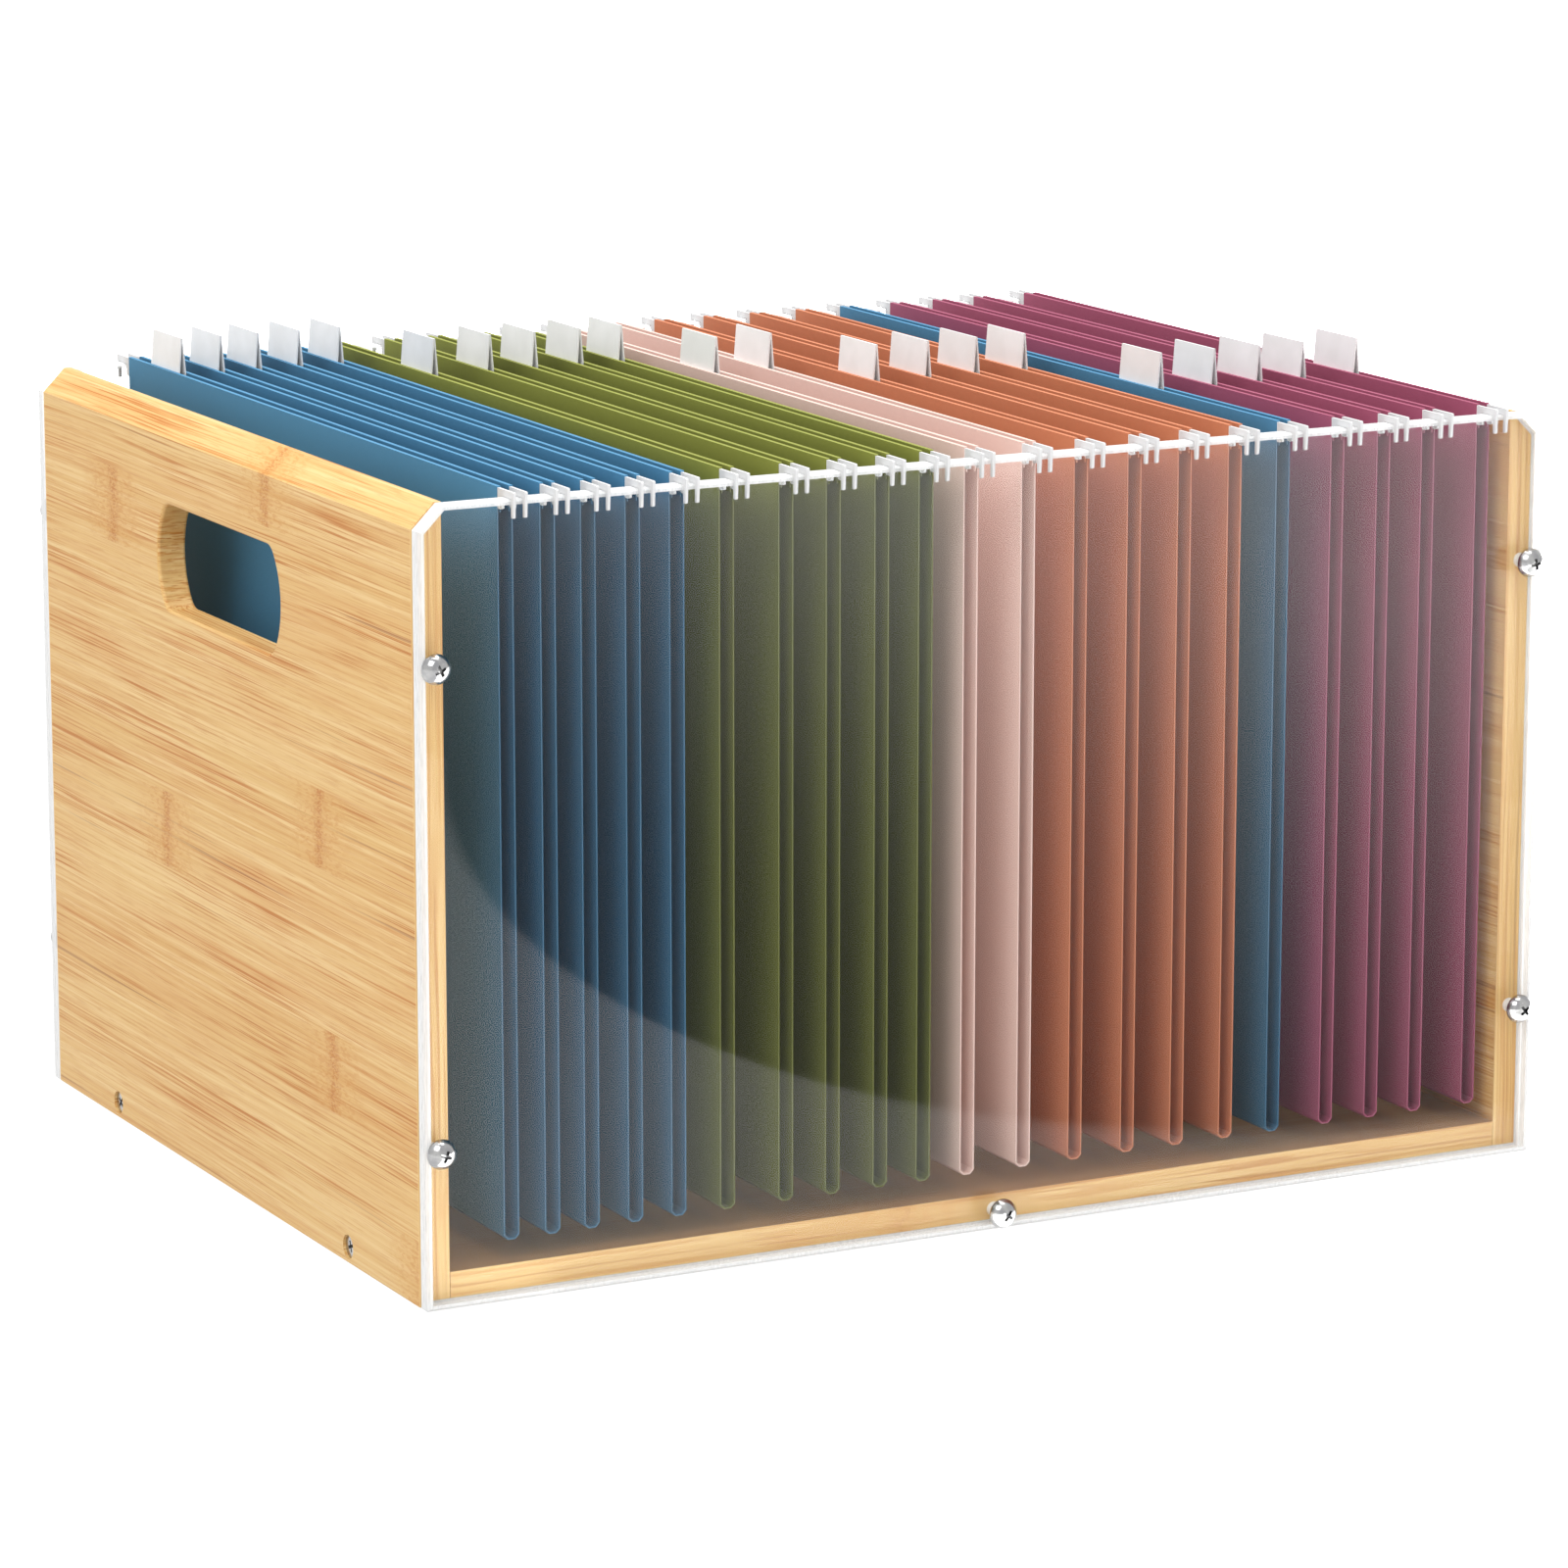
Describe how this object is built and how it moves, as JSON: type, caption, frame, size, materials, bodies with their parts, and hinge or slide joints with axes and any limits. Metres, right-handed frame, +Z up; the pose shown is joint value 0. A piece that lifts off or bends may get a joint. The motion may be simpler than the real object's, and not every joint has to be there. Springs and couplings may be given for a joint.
{
  "type": "desktop file sorter",
  "caption": "Open-topped bamboo box with clear acrylic front and back panels as rails, handle holes and a row of coloured hanging folders with label tabs.",
  "frame": {"origin": "centre of the box's footprint, on the surface it stands on", "axes": "+X along the width, across the folders; +Y from the front panel to the back panel; +Z up"},
  "size_m": [0.401, 0.3254, 0.2633],
  "materials": {
    "bamboo": "satin clear lacquer over laminated bamboo",
    "acrylic": "clear, polished edges",
    "screw_metal": "polished",
    "white_plastic": "matt white",
    "card_blue": "matt card",
    "card_green": "matt card",
    "card_pink": "matt card",
    "card_orange": "matt card",
    "card_purple": "matt card"
  },
  "bodies": {
    "box": {"left_side_panel": "bamboo", "right_side_panel": "bamboo", "base_board": "bamboo", "front_panel": "acrylic", "back_panel": "acrylic", "front_panel_screws": "screw_metal", "back_panel_screws": "screw_metal", "left_base_screws": "screw_metal", "right_base_screws": "screw_metal"},
    "folder_01": {"folder_01_sleeve": "card_blue", "folder_01_hangers": "white_plastic"},
    "folder_02": {"folder_02_sleeve": "card_blue", "folder_02_hangers": "white_plastic"},
    "folder_03": {"folder_03_sleeve": "card_blue", "folder_03_hangers": "white_plastic"},
    "folder_04": {"folder_04_sleeve": "card_blue", "folder_04_hangers": "white_plastic"},
    "folder_05": {"folder_05_sleeve": "card_blue", "folder_05_hangers": "white_plastic"},
    "folder_06": {"folder_06_sleeve": "card_green", "folder_06_hangers": "white_plastic"},
    "folder_07": {"folder_07_sleeve": "card_green", "folder_07_hangers": "white_plastic"},
    "folder_08": {"folder_08_sleeve": "card_green", "folder_08_hangers": "white_plastic"},
    "folder_09": {"folder_09_sleeve": "card_green", "folder_09_hangers": "white_plastic"},
    "folder_10": {"folder_10_sleeve": "card_green", "folder_10_hangers": "white_plastic"},
    "folder_11": {"folder_11_sleeve": "card_pink", "folder_11_hangers": "white_plastic"},
    "folder_12": {"folder_12_sleeve": "card_pink", "folder_12_hangers": "white_plastic"},
    "folder_13": {"folder_13_sleeve": "card_orange", "folder_13_hangers": "white_plastic"},
    "folder_14": {"folder_14_sleeve": "card_orange", "folder_14_hangers": "white_plastic"},
    "folder_15": {"folder_15_sleeve": "card_orange", "folder_15_hangers": "white_plastic"},
    "folder_16": {"folder_16_sleeve": "card_orange", "folder_16_hangers": "white_plastic"},
    "folder_17": {"folder_17_sleeve": "card_blue", "folder_17_hangers": "white_plastic"},
    "folder_18": {"folder_18_sleeve": "card_purple", "folder_18_hangers": "white_plastic"},
    "folder_19": {"folder_19_sleeve": "card_purple", "folder_19_hangers": "white_plastic"},
    "folder_20": {"folder_20_sleeve": "card_purple", "folder_20_hangers": "white_plastic"},
    "folder_21": {"folder_21_sleeve": "card_purple", "folder_21_hangers": "white_plastic"}
  },
  "joints": [
    {"name": "folder_01_lift", "type": "slide", "parent": "box", "child": "folder_01", "axis": [0, 0, 1], "range_m": [0, 0.26]},
    {"name": "folder_02_lift", "type": "slide", "parent": "box", "child": "folder_02", "axis": [0, 0, 1], "range_m": [0, 0.26]},
    {"name": "folder_03_lift", "type": "slide", "parent": "box", "child": "folder_03", "axis": [0, 0, 1], "range_m": [0, 0.26]},
    {"name": "folder_04_lift", "type": "slide", "parent": "box", "child": "folder_04", "axis": [0, 0, 1], "range_m": [0, 0.26]},
    {"name": "folder_05_lift", "type": "slide", "parent": "box", "child": "folder_05", "axis": [0, 0, 1], "range_m": [0, 0.26]},
    {"name": "folder_06_lift", "type": "slide", "parent": "box", "child": "folder_06", "axis": [0, 0, 1], "range_m": [0, 0.26]},
    {"name": "folder_07_lift", "type": "slide", "parent": "box", "child": "folder_07", "axis": [0, 0, 1], "range_m": [0, 0.26]},
    {"name": "folder_08_lift", "type": "slide", "parent": "box", "child": "folder_08", "axis": [0, 0, 1], "range_m": [0, 0.26]},
    {"name": "folder_09_lift", "type": "slide", "parent": "box", "child": "folder_09", "axis": [0, 0, 1], "range_m": [0, 0.26]},
    {"name": "folder_10_lift", "type": "slide", "parent": "box", "child": "folder_10", "axis": [0, 0, 1], "range_m": [0, 0.26]},
    {"name": "folder_11_lift", "type": "slide", "parent": "box", "child": "folder_11", "axis": [0, 0, 1], "range_m": [0, 0.26]},
    {"name": "folder_12_lift", "type": "slide", "parent": "box", "child": "folder_12", "axis": [0, 0, 1], "range_m": [0, 0.26]},
    {"name": "folder_13_lift", "type": "slide", "parent": "box", "child": "folder_13", "axis": [0, 0, 1], "range_m": [0, 0.26]},
    {"name": "folder_14_lift", "type": "slide", "parent": "box", "child": "folder_14", "axis": [0, 0, 1], "range_m": [0, 0.26]},
    {"name": "folder_15_lift", "type": "slide", "parent": "box", "child": "folder_15", "axis": [0, 0, 1], "range_m": [0, 0.26]},
    {"name": "folder_16_lift", "type": "slide", "parent": "box", "child": "folder_16", "axis": [0, 0, 1], "range_m": [0, 0.26]},
    {"name": "folder_17_lift", "type": "slide", "parent": "box", "child": "folder_17", "axis": [0, 0, 1], "range_m": [0, 0.26]},
    {"name": "folder_18_lift", "type": "slide", "parent": "box", "child": "folder_18", "axis": [0, 0, 1], "range_m": [0, 0.26]},
    {"name": "folder_19_lift", "type": "slide", "parent": "box", "child": "folder_19", "axis": [0, 0, 1], "range_m": [0, 0.26]},
    {"name": "folder_20_lift", "type": "slide", "parent": "box", "child": "folder_20", "axis": [0, 0, 1], "range_m": [0, 0.26]},
    {"name": "folder_21_lift", "type": "slide", "parent": "box", "child": "folder_21", "axis": [0, 0, 1], "range_m": [0, 0.26]}
  ]
}
